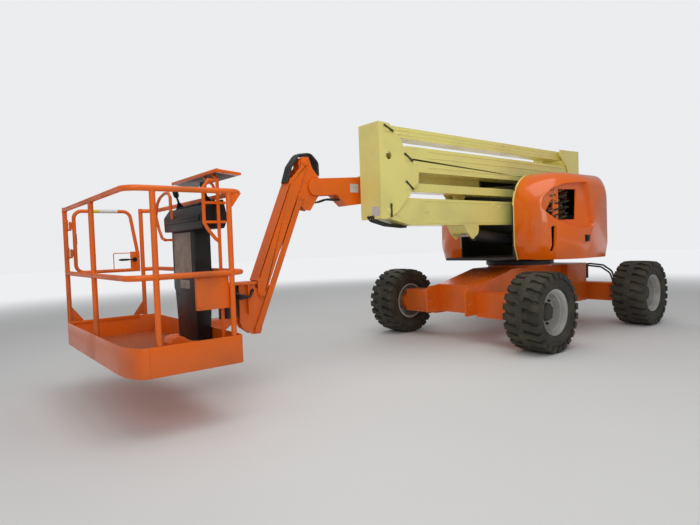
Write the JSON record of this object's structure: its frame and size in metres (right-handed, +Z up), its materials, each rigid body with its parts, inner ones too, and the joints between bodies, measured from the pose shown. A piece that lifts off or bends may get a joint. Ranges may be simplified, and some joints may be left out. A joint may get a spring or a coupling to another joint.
{
  "type": "articulating boom lift",
  "caption": "Self-propelled articulating boom lift with a folding tower, telescopic main boom, jib and railed platform, on a four-wheel chassis with lugged tyres.",
  "frame": {"origin": "on the floor under the middle of the bounding box", "axes": "+X towards the platform end, +Y to the machine's left side, +Z up"},
  "size_m": [6.8296, 2.448, 2.38],
  "materials": {
    "orange_paint": "gloss",
    "cream_paint": "gloss",
    "dark_steel": "satin",
    "engine_iron": "matte",
    "black_plastic": "matte",
    "tyre": "matte",
    "rim_silver": "satin",
    "chrome_rod": "polished"
  },
  "bodies": {
    "chassis": {"chassis_frame": "orange_paint", "drive_axle": "orange_paint", "steer_axle": "orange_paint", "slew_ring": "dark_steel"},
    "knuckle_left": {"knuckle_left": "orange_paint"},
    "knuckle_right": {"knuckle_right": "orange_paint"},
    "tie_rod": {"tie_rod": "dark_steel"},
    "wheel_front_left": {"tyre_front_left": "tyre", "rim_front_left": "rim_silver"},
    "wheel_front_right": {"tyre_front_right": "tyre", "rim_front_right": "rim_silver"},
    "wheel_rear_left": {"tyre_rear_left": "tyre", "rim_rear_left": "rim_silver"},
    "wheel_rear_right": {"tyre_rear_right": "tyre", "rim_rear_right": "rim_silver"},
    "turntable": {"turntable_deck": "cream_paint", "counterweight": "cream_paint", "hood_bulkheads": "cream_paint", "engine_block": "engine_iron", "oil_tank": "dark_steel"},
    "hood_left": {"hood_left": "orange_paint"},
    "hood_right": {"hood_right": "orange_paint"},
    "lower_boom": {"lower_boom": "cream_paint"},
    "lower_link": {"lower_link": "cream_paint"},
    "front_upright": {"front_upright": "cream_paint"},
    "upper_boom": {"upper_boom": "cream_paint"},
    "upper_link": {"upper_link": "cream_paint"},
    "rear_upright": {"rear_upright": "cream_paint"},
    "main_boom": {"main_boom": "cream_paint", "hose_carrier": "black_plastic"},
    "fly_boom": {"fly_boom": "orange_paint"},
    "nose": {"jib_nose": "orange_paint"},
    "jib": {"jib_tube": "orange_paint"},
    "jib_link": {"jib_link": "orange_paint"},
    "jib_bracket": {"jib_bracket": "orange_paint", "rotary_actuator": "dark_steel"},
    "platform": {"platform_mount": "orange_paint", "platform_tray": "orange_paint", "platform_rails": "orange_paint", "console": "black_plastic", "console_guards": "orange_paint"},
    "gate": {"platform_gate": "orange_paint"},
    "tower_barrel": {"tower_barrel": "dark_steel"},
    "tower_rod": {"tower_rod": "chrome_rod"},
    "lift_barrel": {"lift_barrel": "dark_steel"},
    "lift_rod": {"lift_rod": "chrome_rod"},
    "jib_barrel": {"jib_barrel": "dark_steel"},
    "jib_rod": {"jib_rod": "chrome_rod"}
  },
  "joints": [
    {"name": "wheel_front_left", "type": "hinge", "parent": "chassis", "child": "wheel_front_left", "pos_m": [-0.61578, 1.027, 0.419], "axis": [0, 1, 0], "continuous": true},
    {"name": "wheel_front_right", "type": "hinge", "parent": "chassis", "child": "wheel_front_right", "pos_m": [-0.61578, -1.027, 0.419], "axis": [0, 1, 0], "continuous": true},
    {"name": "wheel_rear_left", "type": "hinge", "parent": "knuckle_left", "child": "wheel_rear_left", "pos_m": [-2.99578, 1.027, 0.419], "axis": [0, 1, 0], "continuous": true},
    {"name": "wheel_rear_right", "type": "hinge", "parent": "knuckle_right", "child": "wheel_rear_right", "pos_m": [-2.99578, -1.027, 0.419], "axis": [0, 1, 0], "continuous": true},
    {"name": "steer", "type": "hinge", "parent": "chassis", "child": "knuckle_left", "pos_m": [-2.99578, 0.8, 0.419], "axis": [0, 0, 1], "range_deg": [-35, 35]},
    {"name": "steer_right", "type": "hinge", "parent": "chassis", "child": "knuckle_right", "pos_m": [-2.99578, -0.8, 0.419], "axis": [0, 0, 1], "range_deg": [-35.5, 35.5]},
    {"name": "tie_rod_shift", "type": "slide", "parent": "chassis", "child": "tie_rod", "axis": [0, -1, 0], "range_m": [-0.12, 0.12]},
    {"name": "turntable_turn", "type": "hinge", "parent": "chassis", "child": "turntable", "pos_m": [-1.80578, 0, 0.905], "axis": [0, 0, 1], "range_deg": [-177.5, 177.5]},
    {"name": "hood_left_open", "type": "hinge", "parent": "turntable", "child": "hood_left", "pos_m": [-1.80578, 0.4, 1.97], "axis": [1, 0, 0], "range_deg": [0, 70]},
    {"name": "hood_right_open", "type": "hinge", "parent": "turntable", "child": "hood_right", "pos_m": [-1.80578, -0.4, 1.97], "axis": [-1, 0, 0], "range_deg": [0, 70]},
    {"name": "tower_lift", "type": "hinge", "parent": "turntable", "child": "lower_boom", "pos_m": [-2.51978, 0.14, 1.497], "axis": [0, -1, 0], "range_deg": [0, 56]},
    {"name": "lower_link_pivot", "type": "hinge", "parent": "turntable", "child": "lower_link", "pos_m": [-2.78478, 0.14, 1.751], "axis": [0, -1, 0], "range_deg": [-0.5, 56.5]},
    {"name": "front_upright_level", "type": "hinge", "parent": "lower_boom", "child": "front_upright", "pos_m": [0.80622, 0.14, 1.497], "axis": [0, -1, 0], "range_deg": [-56.5, 0.5]},
    {"name": "upper_boom_lift", "type": "hinge", "parent": "front_upright", "child": "upper_boom", "pos_m": [0.54622, 0.14, 2.032], "axis": [0, 1, 0], "range_deg": [-0.5, 56.5]},
    {"name": "upper_link_pivot", "type": "hinge", "parent": "front_upright", "child": "upper_link", "pos_m": [0.81022, 0.14, 2.296], "axis": [0, 1, 0], "range_deg": [-0.5, 56.5]},
    {"name": "rear_upright_level", "type": "hinge", "parent": "upper_boom", "child": "rear_upright", "pos_m": [-2.77978, 0.14, 2.032], "axis": [0, 1, 0], "range_deg": [-56.5, 0.5]},
    {"name": "tower_cylinder_swing", "type": "hinge", "parent": "turntable", "child": "tower_barrel", "pos_m": [-2.00578, 0.14, 1.1], "axis": [0, -1, 0], "range_deg": [-0.5, 61.71]},
    {"name": "tower_cylinder_stroke", "type": "slide", "parent": "tower_barrel", "child": "tower_rod", "axis": [0.9937, 0, 0.1121], "range_m": [-0.01, 0.59888]},
    {"name": "main_lift", "type": "hinge", "parent": "rear_upright", "child": "main_boom", "pos_m": [-2.70578, -0.155, 2.055], "axis": [0, -1, 0], "range_deg": [0, 79]},
    {"name": "lift_cylinder_swing", "type": "hinge", "parent": "rear_upright", "child": "lift_barrel", "pos_m": [-2.42578, -0.155, 1.5], "axis": [0, -1, 0], "range_deg": [-0.5, 73.47]},
    {"name": "lift_cylinder_stroke", "type": "slide", "parent": "lift_barrel", "child": "lift_rod", "axis": [0.9937, 0, 0.112], "range_m": [-0.01, 0.77069]},
    {"name": "telescope", "type": "slide", "parent": "main_boom", "child": "fly_boom", "axis": [0.9972, 0, -0.0746], "range_m": [0, 1.7]},
    {"name": "nose_level", "type": "hinge", "parent": "fly_boom", "child": "nose", "pos_m": [1.41071, -0.155, 1.74693], "axis": [0, -1, 0], "range_deg": [-79.5, 0.5]},
    {"name": "jib_lift", "type": "hinge", "parent": "nose", "child": "jib", "pos_m": [1.52271, -0.155, 1.97192], "axis": [0, -1, 0], "range_deg": [0, 144]},
    {"name": "jib_link_pivot", "type": "hinge", "parent": "nose", "child": "jib_link", "pos_m": [1.57971, -0.155, 1.64993], "axis": [0, -1, 0], "range_deg": [-0.5, 144.5]},
    {"name": "jib_bracket_level", "type": "hinge", "parent": "jib", "child": "jib_bracket", "pos_m": [2.03078, -0.155, 0.78076], "axis": [0, -1, 0], "range_deg": [-144.5, 0.5]},
    {"name": "jib_cylinder_swing", "type": "hinge", "parent": "nose", "child": "jib_barrel", "pos_m": [1.57971, -0.155, 1.64993], "axis": [0, -1, 0], "range_deg": [-0.5, 144.74]},
    {"name": "jib_cylinder_stroke", "type": "slide", "parent": "jib_barrel", "child": "jib_rod", "axis": [0.4606, 0, -0.8876], "range_m": [-0.01, 0.63198]},
    {"name": "platform_turn", "type": "hinge", "parent": "jib_bracket", "child": "platform", "pos_m": [2.33078, -0.155, 0.78076], "axis": [0, 0, 1], "range_deg": [-90, 90]},
    {"name": "gate_open", "type": "hinge", "parent": "platform", "child": "gate", "pos_m": [3.34648, -1.11, 1], "axis": [0, 0, -1], "range_deg": [0, 90]}
  ],
  "couplings": [
    {"joint": "steer_right", "follows": "steer", "ratio": 1},
    {"joint": "tie_rod_shift", "follows": "steer", "m_per_rad": 0.15962},
    {"joint": "lower_link_pivot", "follows": "tower_lift", "ratio": 1},
    {"joint": "front_upright_level", "follows": "tower_lift", "ratio": -1},
    {"joint": "upper_boom_lift", "follows": "tower_lift", "ratio": 1},
    {"joint": "upper_link_pivot", "follows": "tower_lift", "ratio": 1},
    {"joint": "rear_upright_level", "follows": "tower_lift", "ratio": -1},
    {"joint": "tower_cylinder_swing", "follows": "tower_lift", "ratio": 1.0931},
    {"joint": "tower_cylinder_stroke", "follows": "tower_lift", "m_per_rad": 0.60251},
    {"joint": "lift_cylinder_swing", "follows": "main_lift", "ratio": 0.92366},
    {"joint": "lift_cylinder_stroke", "follows": "main_lift", "m_per_rad": 0.5517},
    {"joint": "nose_level", "follows": "main_lift", "ratio": -1},
    {"joint": "jib_link_pivot", "follows": "jib_lift", "ratio": 1},
    {"joint": "jib_bracket_level", "follows": "jib_lift", "ratio": -1},
    {"joint": "jib_cylinder_swing", "follows": "jib_lift", "ratio": 1.0016},
    {"joint": "jib_cylinder_stroke", "follows": "jib_lift", "m_per_rad": 0.24748}
  ]
}
